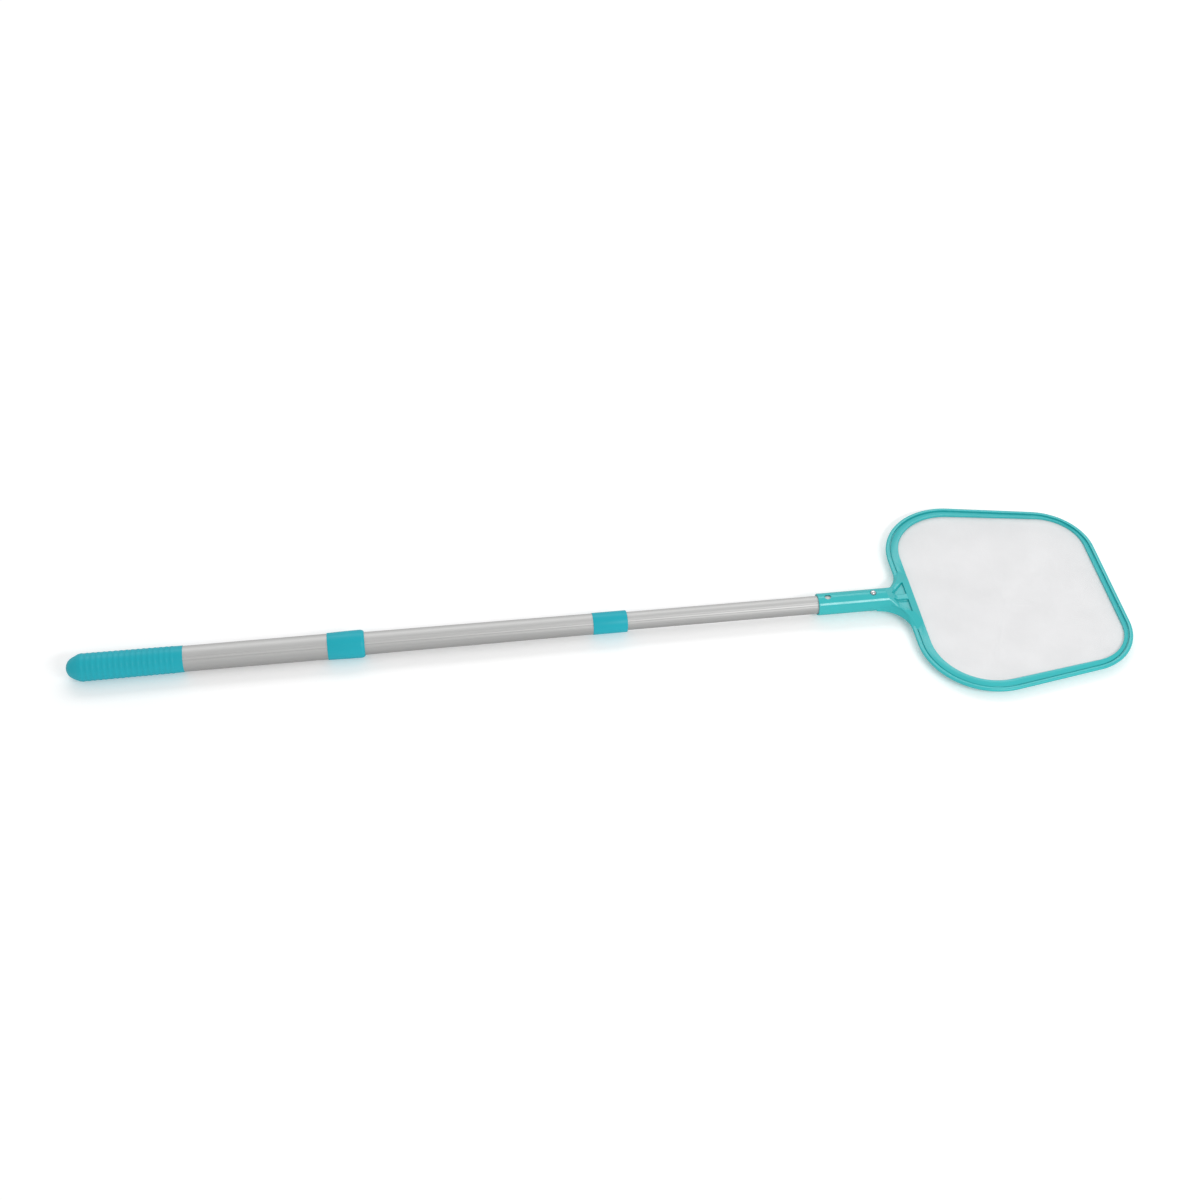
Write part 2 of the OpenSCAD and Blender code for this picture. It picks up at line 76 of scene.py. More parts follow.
class Wire:
    """One output in a finish's nodes. Arithmetic on it adds the Math nodes."""

    def __init__(self, finish, socket):
        self.finish = finish
        self.socket = socket

    def worked(self, operation, *others):
        return self.finish.node("Math", {"operation": operation}, dict(enumerate((self, *others))))

    def __add__(self, other):
        return self.worked("ADD", other)

    def __mul__(self, other):
        return self.worked("MULTIPLY", other)

    def sine(self):
        return self.worked("SINE")

    def power(self, exponent):
        return self.worked("POWER", exponent)

    def larger(self, other):
        return self.worked("MAXIMUM", other)

    def clamped(self, low, high):
        """0 at low, 1 at high, straight between them."""
        ranges = {"From Min": low, "From Max": high}
        return self.finish.node("MapRange", {"clamp": True}, {"Value": self, **ranges})


class Finish:
    """A procedural material, built up from its Principled shader."""

    def __init__(self, name, **constants):
        self.material = bpy.data.materials.new(name)
        self.material.use_nodes = True
        self.tree = self.material.node_tree
        self.shader = self.tree.nodes["Principled BSDF"]
        self.set(self.shader, {key.replace("_", " "): v for key, v in constants.items()})
        self.place = self.node("TexCoord", output="Object")

    def set(self, node, values):
        for key, value in values.items():
            if isinstance(value, Wire):
                self.tree.links.new(value.socket, node.inputs[key])
            else:
                node.inputs[key].default_value = value

    def node(self, kind, settings=None, values=None, output=0):
        node = self.tree.nodes.new("ShaderNode" + kind)
        for key, value in (settings or {}).items():
            setattr(node, key, value)
        self.set(node, values or {})
        return Wire(self, node.outputs[output])

    def stretched(self, scale):
        return self.node("Mapping", None, {"Vector": self.place, "Scale": scale})

    def grain(self, scale, place=None, detail=3):
        values = {"Vector": place or self.place, "Scale": scale, "Detail": detail}
        return self.node("TexNoise", None, {**values, "Roughness": 0.55})

    def blend(self, factor, first, second):
        """Mixes two colours. A colour Mix node has its colours at inputs 6 and 7."""
        return self.node("Mix", {"data_type": "RGBA"}, {0: factor, 6: first, 7: second}, output=2)

    def bump(self, height, distance, strength):
        values = {"Height": height, "Distance": distance, "Strength": strength}
        return self.node("Bump", None, values, output="Normal")

    def shade(self, **links):
        self.set(self.shader, {key.replace("_", " "): v for key, v in links.items()})
        return self.material


def tone(red, green, blue):
    """Shader colour of an 8-bit screen colour."""
    toe = 10.3
    linear = [
        c / 255 / 12.92 if c < toe else ((c / 255 + 0.055) / 1.055) ** 2.4
        for c in (red, green, blue)
    ]
    return (*linear, 1.0)


def darker(colour, share):
    return (*[c * (1 - share) for c in colour[:3]], 1.0)


def moulded_plastic(name, colour, roughness, gloss):
    """Satin moulding: a faint cloud in its colour, uneven gloss and a fine spark-eroded skin."""
    finish = Finish(name, IOR=1.46, Specular_IOR_Level=gloss)
    cloud = finish.grain(14, detail=2)
    skin = finish.grain(2600, detail=2)
    wear = finish.grain(90, detail=4).clamped(0.35, 0.75)
    return finish.shade(
        Base_Color=finish.blend(cloud.clamped(0.3, 0.7), darker(colour, 0.06), colour),
        Roughness=wear * 0.08 + roughness,
        Normal=finish.bump(skin, 0.00003, 0.5),
    )


def drawn_aluminium(name, colour, roughness):
    """Anodised tube: fine lines along its length and a slightly uneven satin."""
    finish = Finish(name, Metallic=0.8)
    lines = finish.grain(700, finish.stretched((0.01, 1, 1)), detail=4)
    cloud = finish.grain(9, finish.stretched((0.6, 1, 1)), detail=2)
    streaks = (lines * 0.6 + cloud * 0.4).clamped(0.3, 0.7)
    return finish.shade(
        Base_Color=finish.blend(streaks, darker(colour, 0.1), colour),
        Roughness=lines * 0.12 + roughness,
        Normal=finish.bump(lines, 0.00002, 0.4),
    )


def bare_nylon(name):
    finish = Finish(name, IOR=1.5)
    cloud = finish.grain(60)
    return finish.shade(
        Base_Color=finish.blend(cloud, tone(206, 206, 202), tone(226, 226, 224)),
        Roughness=cloud * 0.15 + 0.42,
        Normal=finish.bump(finish.grain(1800, detail=2), 0.00004, 0.5),
    )


def polished_steel(name):
    finish = Finish(name, Metallic=1.0)
    haze = finish.grain(400)
    return finish.shade(
        Base_Color=finish.blend(haze, tone(200, 199, 202), tone(232, 231, 234)),
        Roughness=haze * 0.1 + 0.14,
        Normal=finish.bump(haze, 0.00002, 0.3),
    )


def woven_net(name):
    """Fine plain weave: round threads both ways with small open squares between them."""
    pitch = 1.0 * MM
    finish = Finish(name, IOR=1.5)
    along, across, _ = (
        finish.node("SeparateXYZ", None, {"Vector": finish.place}, output=axis) for axis in "XYZ"
    )
    turns = 2 * math.pi / pitch
    warp = ((along * turns).sine() * 0.5 + 0.5).power(0.8)
    weft = ((across * turns).sine() * 0.5 + 0.5).power(0.8)
    threads = warp.larger(weft)
    cloud = finish.grain(25)
    return finish.shade(
        Base_Color=finish.blend(cloud.clamped(0.3, 0.7), tone(243, 243, 244), tone(249, 249, 250)),
        Roughness=cloud * 0.1 + 0.55,
        Alpha=threads.clamped(0.1, 0.8) * 0.5 + 0.3,
        Normal=finish.bump(threads, 0.00015, 0.6),
    )


grip_plastic = moulded_plastic("grip_plastic", tone(24, 176, 192), roughness=0.38, gloss=0.35)
head_plastic = moulded_plastic("head_plastic", tone(54, 188, 191), roughness=0.2, gloss=0.55)
tube_aluminium = drawn_aluminium("tube_aluminium", tone(206, 206, 205), roughness=0.5)
lock_nylon = bare_nylon("lock_nylon")
spring_steel = polished_steel("spring_steel")
net_nylon = woven_net("net_nylon")


# ---- Mesh helpers ----

def added(name, data):
    """A new object in the scene."""
    made = bpy.data.objects.new(name, data)
    bpy.context.scene.collection.objects.link(made)
    return made


def mesh_of(bm, name):
    """The bmesh as a mesh. The bmesh goes."""
    mesh = bpy.data.meshes.new(name)
    bm.to_mesh(mesh)
    bm.free()
    return mesh


def piece(bm, name, body, material, replaced, crease, flexes=None):
    """Turns a finished bmesh, in millimetres from the grip's tip and the pole's axis, into a piece.

    Edges sharper than crease, in degrees, stay sharp. flexes holds a second body and two heights,
    which are not used: when flexes is given, the piece's transform is baked into its mesh and it is
    not attached to body.
    """
    bmesh.ops.remove_doubles(bm, verts=bm.verts, dist=0.001)
    bmesh.ops.recalc_face_normals(bm, faces=bm.faces)
    bmesh.ops.translate(bm, verts=bm.verts, vec=(-MIDDLE, 0, AXIS_Z))
    bmesh.ops.scale(bm, verts=bm.verts, vec=(MM, MM, MM))
    mesh = mesh_of(bm, name)
    mesh.shade_smooth()
    mesh.set_sharp_from_angle(angle=math.radians(crease))
    mesh.materials.append(material)
    made = added(name, mesh)
    if flexes:
        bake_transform(made)
    else:
        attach(made, body)
    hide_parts(*replaced)
    return made


def turned(profile, rounds, steps=128):
    """A profile of (place along the pole, radius) turned round the pole's axis.

    A profile that touches the axis stays open there. rounds gives (profile point, rounding radius)
    pairs.
    """
    bm = bmesh.new()
    verts = [bm.verts.new((s, 0, r)) for s, r in profile]
    closed = min(r for _, r in profile) > 0
    for pair in zip(verts, verts[1:] + verts[:1] if closed else verts[1:]):
        bm.edges.new(pair)
    for index, radius in rounds:
        bmesh.ops.bevel(
            bm, geom=[verts[index]], offset=radius, offset_type="OFFSET", segments=4,
            profile=0.5, affect="VERTICES", material=-1, clamp_overlap=True,
        )
    bmesh.ops.spin(
        bm, geom=bm.verts[:] + bm.edges[:], cent=(0, 0, 0), axis=(1, 0, 0),
        angle=2 * math.pi, steps=steps, use_merge=True,
    )
    return bm


def copied_node(name):
    """The CAD node's mesh, merged, in millimetres from the grip's tip and the pole's axis."""
    bm = bmesh.new()
    bm.from_mesh(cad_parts[name].data)
    bmesh.ops.scale(bm, verts=bm.verts, vec=(1 / MM, 1 / MM, 1 / MM))
    bmesh.ops.translate(bm, verts=bm.verts, vec=(MIDDLE, 0, -AXIS_Z))
    bmesh.ops.remove_doubles(bm, verts=bm.verts, dist=0.0005)
    return bm


def bisected(bm, point, away, clear_outer=False):
    """Cuts all of a bmesh along a plane, and can drop what lies beyond it."""
    bmesh.ops.bisect_plane(
        bm, geom=bm.verts[:] + bm.edges[:] + bm.faces[:],
        plane_co=point, plane_no=away, clear_outer=clear_outer,
    )


def applied(made):
    """The object's mesh with its modifiers in it, as a bmesh. The object goes."""
    bpy.context.view_layer.update()
    bm = bmesh.new()
    bm.from_object(made, bpy.context.evaluated_depsgraph_get())
    bpy.data.objects.remove(made)
    return bm


def combined(first, second, operation):
    """Boolean of two closed bmeshes."""
    for bm in (first, second):
        bmesh.ops.recalc_face_normals(bm, faces=bm.faces)
    base, tool = added("base", mesh_of(first, "base")), added("tool", mesh_of(second, "tool"))
    joined = base.modifiers.new("join", "BOOLEAN")
    joined.operation, joined.object, joined.solver = operation, tool, "EXACT"
    result = applied(base)
    bpy.data.objects.remove(tool)
    return result


# ---- Pole ----

def grip_profile():
    """Ribbed sleeve with a domed end, as points and the radii of its rounded corners."""
    dome, nose, first_rib, pitch, ribs = 14, 12.5, 16.9, 5.8, 17
    half_root, half_crest, rib_height, rib_round = 1.7, 0.8, 0.34, 0.5
    end_r, mouth_r, end_round, mouth_round = 14.65, 14.1, 1.6, 0.3
    rib_corners = [
        (-half_root, 0), (-half_crest, rib_height), (half_crest, rib_height), (half_root, 0),
    ]
    slope = (mouth_r - end_r) / (GRIP_MOUTH - dome)
    reach = math.hypot(end_r, dome - nose)
    touch = math.atan2(dome - nose, end_r) - math.acos(nose / reach)
    points, rounds = [], []
    for step in range(11):
        turn = -math.pi / 2 + (touch + math.pi / 2) * step / 10
        points.append((nose + nose * math.sin(turn), nose * math.cos(turn)))
    rounds.append((len(points), end_round))
    points.append((dome, end_r))
    for rib in range(ribs):
        s = first_rib + rib * pitch
        r = end_r + slope * (s - dome)
        for ds, dr in rib_corners:
            rounds.append((len(points), rib_round))
            points.append((s + ds, r + dr))
    rounds.append((len(points), mouth_round))
    points.append((GRIP_MOUTH, mouth_r))
    points += [(GRIP_MOUTH, SLEEVE_BORE), (dome, SLEEVE_BORE), (dome, 0)]
    return points, rounds


def make_grip():
    bm = turned(*grip_profile())
    piece(bm, "ribbed_grip", "grip_section", grip_plastic, ["hand_grip"], 40)


def make_tube(name, body, span, replaced, hole_s=None):
    """Drawn tube with a pair of rolled grooves in each quarter, and a button hole at hole_s."""
    start, end, r, end_r = span
    wall, depth, half_groove, apart = 0.8, 0.38, 0.8, 3.4
    segments, hole_r, drill_length = 288, 3.38, 8
    bm = bmesh.new()
    across = Matrix.Translation((start, 0, 0)) @ Matrix.Rotation(math.pi / 2, 4, "Y")
    outside = bmesh.ops.create_circle(bm, segments=segments, radius=r, matrix=across)
    for vert in outside["verts"]:
        angle = math.degrees(math.atan2(vert.co.z, vert.co.y)) % 90 - 45
        off = abs(abs(math.radians(angle)) * r - apart / 2)
        if off < half_groove:
            sink = depth * math.sqrt(1 - (off / half_groove) ** 2)
            vert.co.yz = vert.co.yz * (1 - sink / r)
    bmesh.ops.create_circle(bm, segments=segments, radius=r - wall, matrix=across)
    end_face = bmesh.ops.bridge_loops(bm, edges=bm.edges[:])["faces"]
    drawn = bmesh.ops.extrude_face_region(bm, geom=end_face)["geom"]
    far = [v for v in drawn if isinstance(v, bmesh.types.BMVert)]
    bmesh.ops.translate(bm, verts=far, vec=(end - start, 0, 0))
    for vert in far:
        out = Vector(vert.co.yz)
        vert.co.yz = out * (1 - (r - end_r) / out.length)
    if hole_s:
        drill = bmesh.new()
        bmesh.ops.create_cone(
            drill, cap_ends=True, segments=48, radius1=hole_r, radius2=hole_r,
            depth=drill_length, matrix=Matrix.Translation((hole_s, 0, r)),
        )
        bm = combined(bm, drill, "DIFFERENCE")
    piece(bm, name, body, tube_aluminium, replaced, 50)


def make_collars():
    """The two sleeves over the tubes' ends. Each lip closes in on the tube that slides in it."""
    lip = 4
    start, end = OUTER_COLLAR
    swell, rear_r, swell_r, lip_r, mouth_round, mouth_sweep = end - 13, 14.4, 15.0, 12.86, 5, 54
    turns = [math.radians(90 - mouth_sweep * step / 8) for step in range(9)]
    centre_s, centre_r = end - mouth_round, swell_r - mouth_round
    mouth = [
        (centre_s + mouth_round * math.cos(a), centre_r + mouth_round * math.sin(a)) for a in turns
    ]
    outer = [
        (start, SLEEVE_BORE), (start, rear_r), (swell, swell_r), *mouth,
        (mouth[-1][0], lip_r), (end - lip, lip_r), (end - lip, SLEEVE_BORE),
    ]
    bm = turned(outer, [(1, 0.3), (2, 6)])
    piece(bm, "swelling_collar", "grip_section", grip_plastic, ["outer_collar"], 40)
    start, end = MIDDLE_COLLAR
    rear_bore, front_bore, outer_r, lip_r = 11.51, 11.42, 11.9, 10.46
    middle = [
        (start, rear_bore), (start, outer_r), (end, outer_r),
        (end, lip_r), (end - lip, lip_r), (end - lip, front_bore),
    ]
    bm = turned(middle, [(1, 0.25), (2, 1.2), (3, 0.2)])
    piece(bm, "thin_collar", "middle_section", grip_plastic, ["middle_collar"], 40)


def make_button():
    """Domed button with a flange inside the tube. Its height is taken from the flange's foot."""
    height, r, flange_r, flange, flange_top = 6.73, 3.175, 4.2, 1, 7.77
    edge_round, dome_round = 0.2, 2.4
    profile = [
        (0, 0), (0, flange_r), (flange, flange_r), (flange, r), (height, r), (height, 0),
    ]
    bm = turned(profile, [(1, edge_round), (2, edge_round), (4, dome_round)], 64)
    bmesh.ops.transform(bm, verts=bm.verts, matrix=Matrix.Rotation(-math.pi / 2, 4, "Y"))
    bmesh.ops.translate(bm, verts=bm.verts, vec=(BUTTON_S, 0, flange_top - flange))
    piece(bm, "domed_button", "button", spring_steel, ["snap_button"], 40)


def make_spring():
    """The button's bent strip, cut across at even steps along its length."""
    first_cut, cuts, apart = BUTTON_S - 24.5, 10, 2
    bm = copied_node("button_spring")
    for step in range(cuts):
        bisected(bm, (first_cut + apart * step, 0, 0), (1, 0, 0))
    piece(
        bm, "bent_spring", "head_section", spring_steel, ["button_spring"], 40,
        ("button", AXIS_Z + 1.5, AXIS_Z + 6.2),
    )


# ---- Net head ----

class Outline:
    """A rounded trapezoid, symmetric about the pole.

    It takes a length, and widths and corner radii at the rear and then the front.
    """

    def __init__(self, start, length, rear_width, front_width, rear_r, front_r):
        self.start, self.length = start, length
        self.rear_r, self.front_r = rear_r, front_r
        self.lean = math.atan((rear_width - front_width) / 2 / length)
        self.rear_centre = (rear_r, self.centre_y(rear_width, rear_r, 1))
        self.front_centre = (length - front_r, self.centre_y(front_width, front_r, -1))
        self.rear_width = rear_width

    def centre_y(self, width, radius, way):
        return width / 2 - radius * (1 + way * math.sin(self.lean)) / math.cos(self.lean)

    def corners(self):
        """Each corner's centre and radius, and the angles that its arc runs between."""
        turn = math.pi / 2 - self.lean
        return (
            (self.front_centre, self.front_r, 0, turn),
            (self.rear_centre, self.rear_r, turn, math.pi),
        )

    def points(self, grow):
        """The outline's points, grown outwards, from the front's middle round both corners."""
        steps = 36
        half = []
        for (x, y), radius, low, high in self.corners():
            for step in range(steps + 1):
                angle = low + (high - low) * step / steps
                reach = radius + grow
                half.append((self.start + x + reach * math.cos(angle), y + reach * math.sin(angle)))
        return half + [(x, -y) for x, y in reversed(half)]


rim = Outline(FRAME_REAR, 229.8, 298.7, 218.5, 71.6, 59.6)
opening = Outline(FRAME_REAR + 8.5, 216.3, 276.63, 210.9, 63.1, 50.2)


def swept(section):
    """Closed skin through outlines. section lists (outline, growth, height) in order round it."""
    bm = bmesh.new()
    rows = [[bm.verts.new((x, y, z)) for x, y in shape.points(grow)] for shape, grow, z in section]
    for near, far in zip(rows, rows[1:] + rows[:1]):
        for i in range(len(near)):
            bm.faces.new((near[i - 1], near[i], far[i], far[i - 1]))
    return bm


def arc(shape, grow, z, radius, start, end, steps):
    """Part of a section that is an arc: angles in degrees, 0 outwards and 90 upwards."""
    turns = [math.radians(start + (end - start) * i / steps) for i in range(steps + 1)]
    return [(shape, grow + radius * math.cos(a), z + radius * math.sin(a)) for a in turns]


def make_lower_ring():
    """Raked underside, upright side, rounded lip, and the tray that the upper frame sits in."""
    lip_reach, rake, lip_round, gap, groove_floor = 5.5, 5.0, 1.6, 1.4, -6.3
    inner_round, play, floor = 0.5, 0.06, SEAT - 0.02
    section = [
        (opening, 0.0, floor),
        (opening, 0.0, UNDERSIDE + inner_round),
        *arc(opening, inner_round, UNDERSIDE + inner_round, inner_round, 180, 270, 3)[1:],
        (rim, lip_reach - rake - 0.4, UNDERSIDE),
        (rim, lip_reach - rake + 0.4, UNDERSIDE + 0.25),
        (rim, lip_reach - 0.5, UNDERSIDE + rake - 0.65),
        (rim, lip_reach, UNDERSIDE + rake + 0.35),
        *arc(rim, lip_reach - lip_round, LIP_TOP - lip_round, lip_round, 0, 90, 5),
        (rim, gap + EDGE, LIP_TOP),
        (rim, gap + EDGE_MIDDLE, LIP_TOP - EDGE_MIDDLE),
        (rim, gap, LIP_TOP - EDGE),
        (rim, gap, groove_floor),
        (rim, play, groove_floor),
        (rim, play, floor),
    ]
    return swept(section)


def make_band():
    """Inner band of the upper frame: it rises from the parting line to the net's edge."""
    clamp = 3.3
    section = [
        (rim, 0.0, SEAT),
        (rim, 0.0, PARTING - EDGE),
        (rim, -EDGE_MIDDLE, PARTING - EDGE_MIDDLE),
        (rim, -EDGE, PARTING + 0.05),
        (opening, 0.75, CROWN - 0.02),
        (opening, 0.22, CROWN - 0.2),
        (opening, 0.0, CROWN - 0.7),
        (opening, 0.0, NET_TOP),
        (opening, clamp, NET_TOP),
        (opening, clamp, SEAT),
    ]
    return swept(section)


def tilted_block(place, turn, offset, size):
    """A cutting block, tilted about the pole's direction."""
    bm = bmesh.new()
    tilt = Matrix.Translation(place) @ Matrix.Rotation(turn, 4, "X") @ Matrix.Translation(offset)
    bmesh.ops.create_cube(bm, size=1, matrix=tilt @ Matrix.Diagonal((*size, 1)))
    return bm


def add_bead(bm, path, radius):
    """Adds a closed round bead along a path."""
    line = bpy.data.curves.new("bead", "CURVE")
    line.dimensions, line.use_fill_caps = "3D", True
    line.bevel_depth, line.bevel_resolution = radius, 3
    spline = line.splines.new("POLY")
    spline.points.add(len(path) - 1)
    for point, place in zip(spline.points, path):
        point.co = (*place, 1)
    made = added("bead", line)
    bpy.context.view_layer.update()
    bm.from_mesh(made.to_mesh())
    made.to_mesh_clear()
    bpy.data.objects.remove(made)


def make_neck():
    """The socket and neck, with the soft edges of a moulding.

    A narrow flat runs along each ridge and down the slope behind the socket, a bead leads on from
    it along the edge of the plate, and the plate's shoulders run out on the band.
    """
    ridge_middle, ridge_flat, ridge_size = 842, 12.15, (84, 12, 4)
    shoulder_start, shoulder_z, shoulder_turn = 20.2, 1.6, math.radians(16.9)
    shoulder_size = (80, 28, 6)
    bead_r, voxel, smoothings, half, front = 1.1, 0.5, 3, 50.0, FRAME_REAR + 8.4
    # Corners of the wedge on each slope: from the frame's rear, to the side, and up from the axis
    slope = [
        (-23.4, 8.1, 9.07), (-13.4, 15.6, 1.6), (-25.1, 9.3, 7.9), (-14.6, 16.3, 0.9),
        (-23.4, 4, 9.07), (-13.4, 10.4, 1.6), (-25.1, 10.5, 3), (-15.5, 14.5, -1),
        (-25.1, 8, -1), (-23.4, 4, -1), (-13.4, 10.4, -1),
    ]
    # Path of each bead, measured in the same way
    edge = [
        (-15, 14.8, 1.2), (-12.6, 17.4, 1.2), (-10.4, 20.2, 1.1), (-6.4, 25.9, -0.5),
        (-3.8, 31.6, -2.2), (-1.8, 38, -4.2), (-0.5, 43, -5.8),
    ]
    bm = copied_node("skimmer_frame")
    ends = [((0, half, 0), (0, 1, 0)), ((0, -half, 0), (0, -1, 0)), ((front, 0, 0), (1, 0, 0))]
    for point, away in ends:
        bisected(bm, point, away, clear_outer=True)
        bmesh.ops.holes_fill(bm, edges=[e for e in bm.edges if e.is_boundary], sides=0)
    for side in (-1, 1):
        ridge = tilted_block(
            (ridge_middle, 0, 0), -side * math.pi / 4,
            (0, 0, ridge_flat + ridge_size[2] / 2), ridge_size,
        )
        shoulder = tilted_block(
            (FRAME_REAR, side * shoulder_start, shoulder_z), -side * shoulder_turn,
            (0, side * shoulder_size[1] / 2, shoulder_size[2] / 2), shoulder_size,
        )
        bm = combined(combined(bm, ridge, "DIFFERENCE"), shoulder, "DIFFERENCE")
    for side in (-1, 1):
        corners = [bm.verts.new((FRAME_REAR + x, side * y, z)) for x, y, z in slope]
        bmesh.ops.convex_hull(bm, input=corners)
        add_bead(bm, [(FRAME_REAR + x, side * y, z) for x, y, z in edge], bead_r)
    rough = added("neck", mesh_of(bm, "neck"))
    voxels = rough.modifiers.new("even skin", "REMESH")
    voxels.mode, voxels.voxel_size = "VOXEL", voxel
    bm = applied(rough)
    for _ in range(smoothings):
        bmesh.ops.smooth_vert(
            bm, verts=bm.verts, factor=0.5, use_axis_x=True, use_axis_y=True, use_axis_z=True,
        )
    return bm


def make_head():
    upper = combined(make_band(), make_neck(), "UNION")
    piece(upper, "upper_frame", "head_section", head_plastic, ["skimmer_frame"], 50)
    piece(
        make_lower_ring(), "lower_ring", "head_section", head_plastic,
        ["net_retaining_ring"], 50,
    )


def make_net():
    """Stretched mesh, clamped at its edge, with a shallow sag and a few lasting folds."""
    margin, steps, thickness = 2.6, 12, 0.25
    half_width, length_share, rows, columns = 144, 0.84, 110, 130
    sag_depth, sag_reach, edge_reach = 2.6, 32, 14
    broad_height, broad_scale, fine_height, fine_scale = 0.5, 0.03, 0.16, 0.11
    middle = (opening.start + opening.length / 2, 0, NET_TOP - 0.3)
    place = Matrix.Translation(middle) @ Matrix.Diagonal((length_share, 1, 1, 1))
    bm = bmesh.new()
    bmesh.ops.create_grid(
        bm, x_segments=rows, y_segments=columns, size=half_width, matrix=place,
    )
    for (x, y), radius, low, high in opening.corners():
        for step in range(steps + 1):
            angle = low + (high - low) * step / steps
            for side in (-1, 1):
                away = Vector((math.cos(angle), side * math.sin(angle), 0))
                centre = Vector((opening.start + x, side * y, 0))
                bisected(bm, centre + away * (radius + margin), away, clear_outer=True)
    # Each fold's two ends, from the middle of the object, and its half width and height
    folds = [
        ((444, -8), (411, -98), 2.0, 0.35),
        ((444, -8), (404, -96), 1.6, -0.25),
        ((444, -8), (440, 78), 2.2, 0.3),
        ((440, 78), (438, 112), 2.0, 0.25),
        ((444, -8), (516, 49), 5.0, -0.5),
        ((421, -11), (477, -18), 2.4, 0.3),
    ]
    for vert in bm.verts:
        x, y = vert.co.x - MIDDLE, vert.co.y
        edge = max(edge_distance(vert.co), 0)
        rise = 1 - math.exp(-(edge / edge_reach) ** 1.5)
        sag = -sag_depth * (1 - math.exp(-edge / sag_reach))
        broad = broad_height * noise.noise(Vector((x, y, 3)) * broad_scale)
        fine = fine_height * noise.noise(Vector((x, y, 9)) * fine_scale)
        fold = sum(fold_height(x, y, *f) for f in folds)
        vert.co.z += sag + rise * (broad + fine + fold)
    bmesh.ops.recalc_face_normals(bm, faces=bm.faces)
    bmesh.ops.solidify(bm, geom=bm.faces[:], thickness=thickness)
    made = piece(bm, "woven_net", "head_section", net_nylon, ["net_mesh"], 60)


def edge_distance(point):
    """Distance of a point from the opening's edge, positive inside it."""
    x, y = point.x - opening.start, abs(point.y)
    normal = (math.sin(opening.lean), math.cos(opening.lean))
    inside = [x, opening.length - x, (opening.rear_width / 2 - y) * normal[1] - x * normal[0]]
    for (cx, cy), radius, way in (
        (opening.rear_centre, opening.rear_r, -1), (opening.front_centre, opening.front_r, 1),
    ):
        dx, dy = x - cx, y - cy
        if dy > 0 and way * (dx * normal[1] - dy * normal[0]) > 0:
            inside.append(radius - math.hypot(dx, dy))
    return min(inside)


def fold_height(x, y, start, end, width, height):
    """Height of a soft fold along a line, fading at its ends."""
    fade = 9
    ax, ay = end[0] - start[0], end[1] - start[1]
    length = math.hypot(ax, ay)
    along = ((x - start[0]) * ax + (y - start[1]) * ay) / length
    off = ((x - start[0]) * ay - (y - start[1]) * ax) / length
    beyond = max(-along, along - length, 0)
    return height * math.exp(-(off / width) ** 2 - (beyond / fade) ** 2)


# ---- Stage ----

def make_floor():
    """Pale floor, which glossy rays see darker: a painted darker reflection that shades the lower
    sides of glossy parts.
    """
    half_size, below = 12, 0.0002
    finish = Finish("pale_floor", Roughness=0.9, Specular_IOR_Level=0.1, Emission_Strength=0.16)
    cloud = finish.grain(1.5, detail=2)
    material = finish.shade(
        Base_Color=finish.blend(cloud, tone(251, 251, 251), tone(253, 253, 253)),
        Emission_Color=(1, 1, 1, 1),
    )
    links = finish.tree.links
    # Painted reflection: glossy rays see this darker grey floor instead, which paints shade into
    # the lower sides of glossy parts.
    painted_dark_reflection = finish.tree.nodes.new("ShaderNodeBsdfDiffuse")
    painted_dark_reflection.inputs["Color"].default_value = tone(205, 205, 205)
    seen = finish.tree.nodes.new("ShaderNodeMixShader")
    links.new(finish.node("LightPath", output="Is Glossy Ray").socket, seen.inputs[0])
    links.new(finish.shader.outputs[0], seen.inputs[1])
    links.new(painted_dark_reflection.outputs[0], seen.inputs[2])
    links.new(seen.outputs[0], finish.tree.nodes["Material Output"].inputs["Surface"])
    bm = bmesh.new()
    bmesh.ops.create_grid(bm, x_segments=4, y_segments=4, size=half_size)
    floor = added("floor", mesh_of(bm, "floor"))
    floor.data.materials.append(material)
    floor.location.z = -below


def soft_lamp(name, place, target, width, depth, power):
    lamp = bpy.data.lights.new(name, "AREA")
    lamp.shape, lamp.size, lamp.size_y, lamp.energy = "RECTANGLE", width, depth, power
    holder = added(name, lamp)
    holder.location = place
    holder.rotation_euler = (Vector(target) - Vector(place)).to_track_quat("-Z", "Y").to_euler()


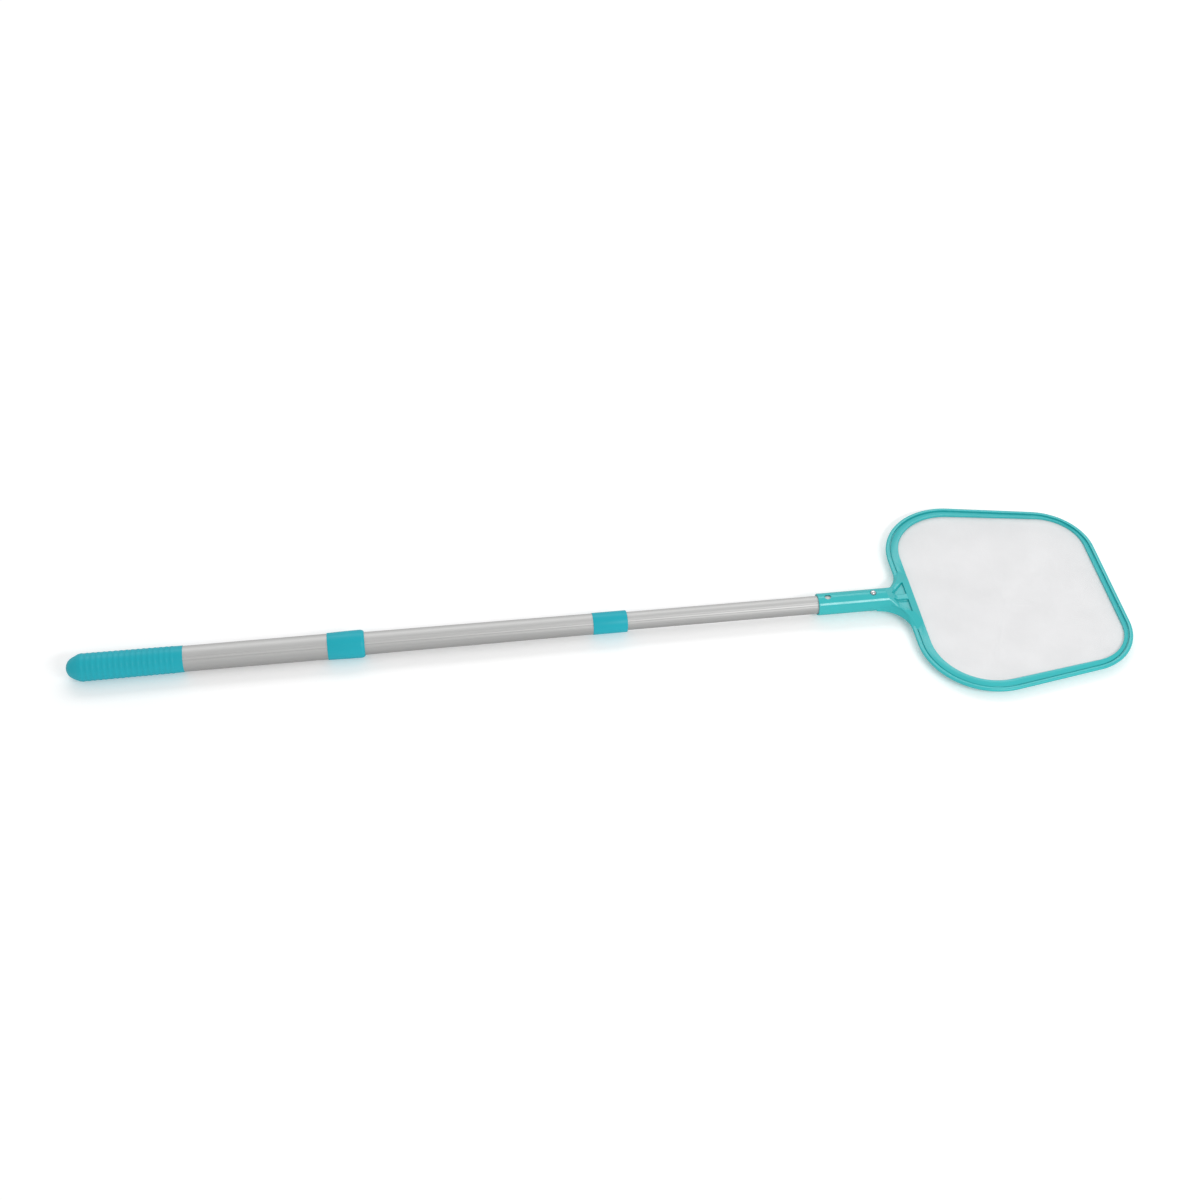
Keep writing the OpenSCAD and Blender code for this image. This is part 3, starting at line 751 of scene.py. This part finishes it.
def make_light():
    """Even light all round, two lamps, and a pale backdrop that only the camera sees."""
    world = bpy.data.worlds.new("studio")
    bpy.context.scene.world = world
    world.use_nodes = True
    nodes, links = world.node_tree.nodes, world.node_tree.links
    around = nodes["Background"]
    around.inputs["Color"].default_value = (1, 1, 1, 1)
    around.inputs["Strength"].default_value = 0.62
    backdrop = nodes.new("ShaderNodeBackground")
    path = nodes.new("ShaderNodeLightPath")
    choice = nodes.new("ShaderNodeMixShader")
    links.new(path.outputs["Is Camera Ray"], choice.inputs[0])
    links.new(around.outputs[0], choice.inputs[1])
    links.new(backdrop.outputs[0], choice.inputs[2])
    links.new(choice.outputs[0], nodes["World Output"].inputs["Surface"])
    soft_lamp("wide", (0.2, 2.1, 2.5), (0.1, 0, 0), width=3.6, depth=1.1, power=28)
    soft_lamp("front", (0.95, -1.42, 1.36), (0.35, 0, 0), width=1.1, depth=0.24, power=15)


def make_camera():
    """Camera on the grip's near side, looking down along the pole, rolled a little."""
    place = (-0.2157, -1.26061, 1.36531)
    yaw, down, roll = math.radians(9.32), math.radians(45.81), math.radians(1.92)
    focal, picture, sensor = 1719.97, 1200, 36
    flat, fall = math.cos(down), math.sin(down)
    forward = Vector((math.sin(yaw) * flat, math.cos(yaw) * flat, -fall))
    level = forward.cross(Vector((0, 0, 1))).normalized()
    upright = level.cross(forward)
    right = math.cos(roll) * level + math.sin(roll) * upright
    up = -math.sin(roll) * level + math.cos(roll) * upright
    data = bpy.data.cameras.new("camera")
    data.sensor_width, data.lens = sensor, sensor * focal / picture
    data.clip_start, data.clip_end = 0.05, 100
    camera = added("camera", data)
    turn = Matrix((right, up, -forward)).transposed().to_4x4()
    camera.matrix_world = Matrix.Translation(place) @ turn
    bpy.context.scene.camera = camera


make_grip()
make_tube("grooved_outer_tube", "grip_section", OUTER_TUBE, ["outer_tube"])
make_tube("grooved_middle_tube", "middle_section", MIDDLE_TUBE, ["middle_tube"])
make_tube("grooved_inner_tube", "head_section", INNER_TUBE, ["inner_tube"], BUTTON_S)
make_collars()
make_button()
make_spring()
make_head()
make_net()
for node in ("outer_lock_ring", "middle_cam_plug", "inner_lock_ring", "inner_cam_plug"):
    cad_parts[node].data.materials.clear()
    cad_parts[node].data.materials.append(lock_nylon)
make_floor()
make_light()
make_camera()
bpy.context.scene.view_settings.view_transform = "Standard"
